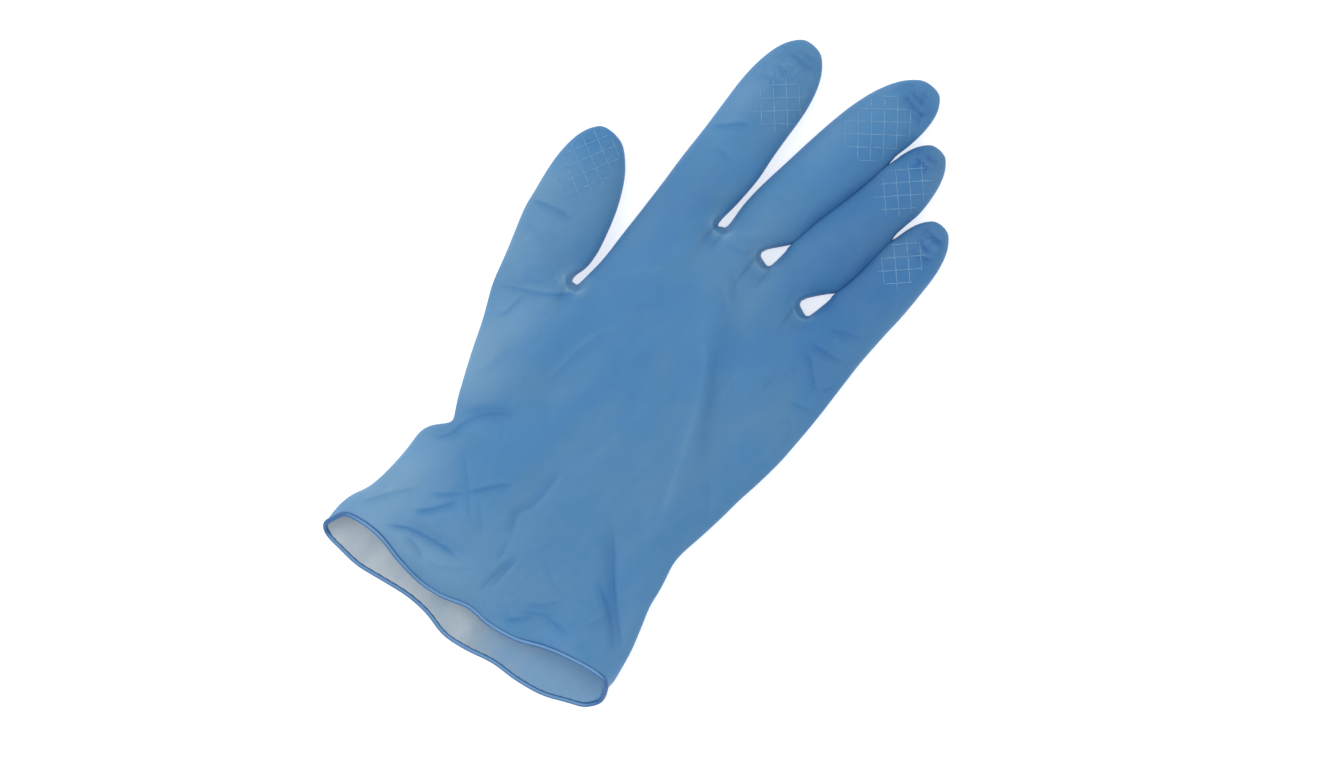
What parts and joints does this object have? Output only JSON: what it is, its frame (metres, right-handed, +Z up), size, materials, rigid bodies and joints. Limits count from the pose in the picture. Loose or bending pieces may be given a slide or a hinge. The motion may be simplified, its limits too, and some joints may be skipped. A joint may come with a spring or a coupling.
{
  "type": "disposable glove",
  "caption": "Thin dipped disposable glove lying flat on its back, with spread thumb, slim fingers, an open cuff and a rolled bead round its mouth.",
  "frame": {"origin": "middle of the glove's box seen from above, on the surface it lies on", "axes": "+Y from the open cuff to the fingertips, +Z up from the surface, the thumb at -X"},
  "size_m": [0.1368, 0.2484, 0.0159],
  "materials": {
    "film": "soft matte translucent blue dipped film, lighter where it is one layer thick",
    "bead": "the same film rolled up, deeper blue, satin"
  },
  "bodies": {
    "root": {"glove_film": "film", "cuff_bead": "bead"}
  },
  "joints": []
}
